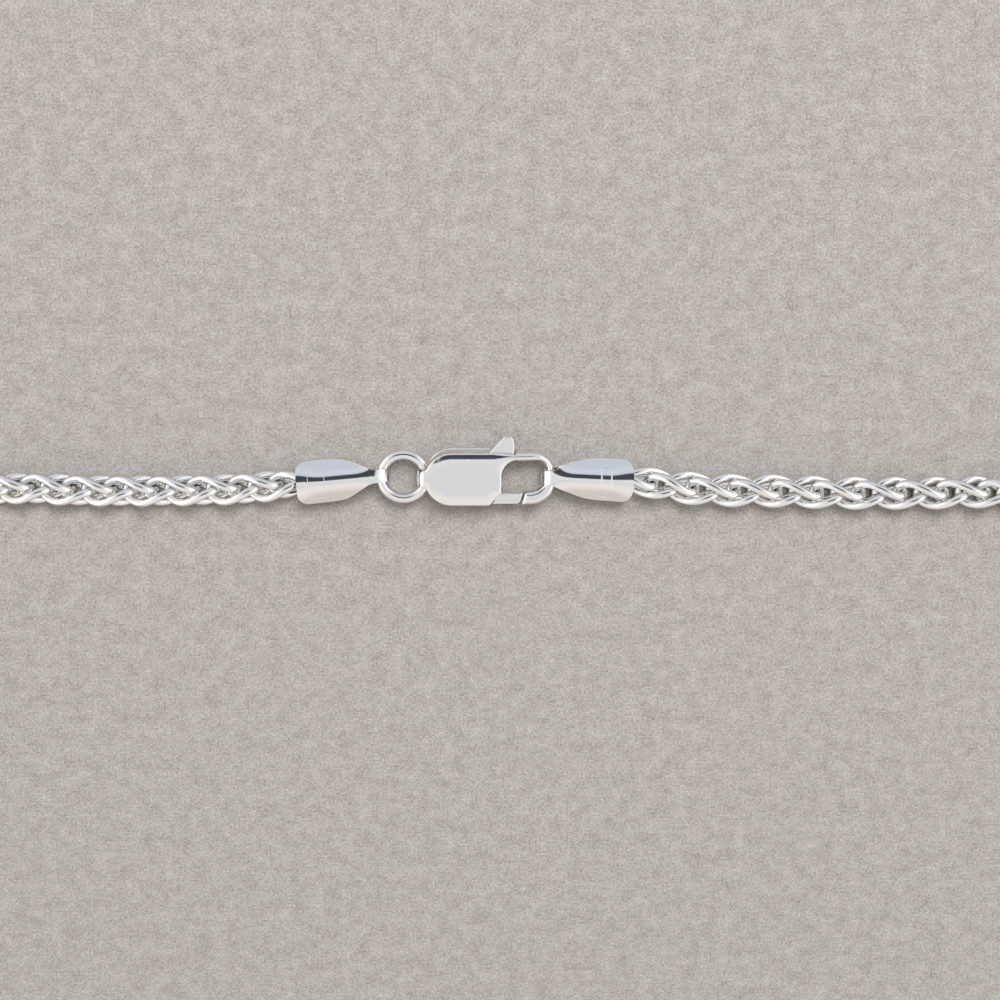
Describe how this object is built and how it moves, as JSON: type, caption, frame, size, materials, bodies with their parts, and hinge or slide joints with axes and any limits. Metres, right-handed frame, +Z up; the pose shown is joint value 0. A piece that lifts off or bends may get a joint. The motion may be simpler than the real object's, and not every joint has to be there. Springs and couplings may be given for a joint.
{
  "type": "wheat chain necklace",
  "caption": "Closed loop of fine interlinked wheat chain with folded end caps, a soldered jump ring and a sprung oval trigger clasp.",
  "frame": {"origin": "middle of the loop's bounding box, on the surface the necklace lies on", "axes": "+Z up from the surface, +Y from the loop's middle towards the clasp, +X along the clasp from its tail to its nose"},
  "size_m": [0.1464, 0.1615, 0.0039],
  "materials": {
    "polished_silver": "polished, with fine wear"
  },
  "bodies": {
    "necklace": {"clasp_body": "polished_silver", "pivot_pin": "polished_silver", "jump_ring": "polished_silver", "end_cap_left": "polished_silver", "end_cap_right": "polished_silver", "chain_left": "polished_silver", "chain_right": "polished_silver"},
    "lever": {"trigger_lever": "polished_silver"}
  },
  "joints": [
    {"name": "lever_pivot", "type": "hinge", "parent": "necklace", "child": "lever", "pos_m": [-0.00125, 0.075, 0.00195], "axis": [0, 0, 1], "range_deg": [0, 25], "stiffness_Nm_per_rad": 0.002, "springref_deg": -20.05}
  ]
}
